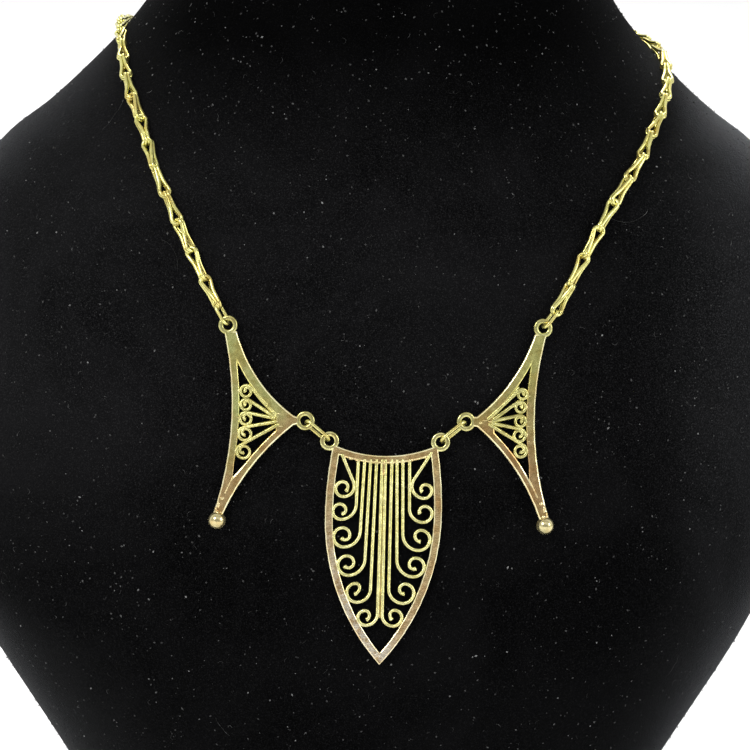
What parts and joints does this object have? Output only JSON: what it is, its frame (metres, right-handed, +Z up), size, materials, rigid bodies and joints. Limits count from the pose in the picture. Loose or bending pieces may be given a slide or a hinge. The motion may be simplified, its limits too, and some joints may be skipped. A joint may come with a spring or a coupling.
{
  "type": "filigree necklace on a neck bust",
  "caption": "Gold necklace of pierced filigree panels hung from folded-link chain, displayed on a black velvet neck bust.",
  "frame": {"origin": "middle of the bust's flat base, on the surface it stands on", "axes": "+Z up, +X to the viewer's right, the chest and the panels face -Y"},
  "size_m": [0.186, 0.1191, 0.212],
  "materials": {
    "velvet": "black velvet pile with a little pale lint",
    "gold_panel": "worn polished yellow gold sheet, finely hammered by wear",
    "gold_link": "polished yellow gold wire",
    "gold_chain": "yellow gold wire with a fine milled edge"
  },
  "bodies": {
    "root": {"neck_bust": "velvet", "center_panel": "gold_panel", "left_panel": "gold_panel", "right_panel": "gold_panel", "left_connector": "gold_link", "right_connector": "gold_link", "left_end_link": "gold_link", "right_end_link": "gold_link", "left_chain": "gold_chain", "right_chain": "gold_chain", "clasp": "gold_link"}
  },
  "joints": []
}
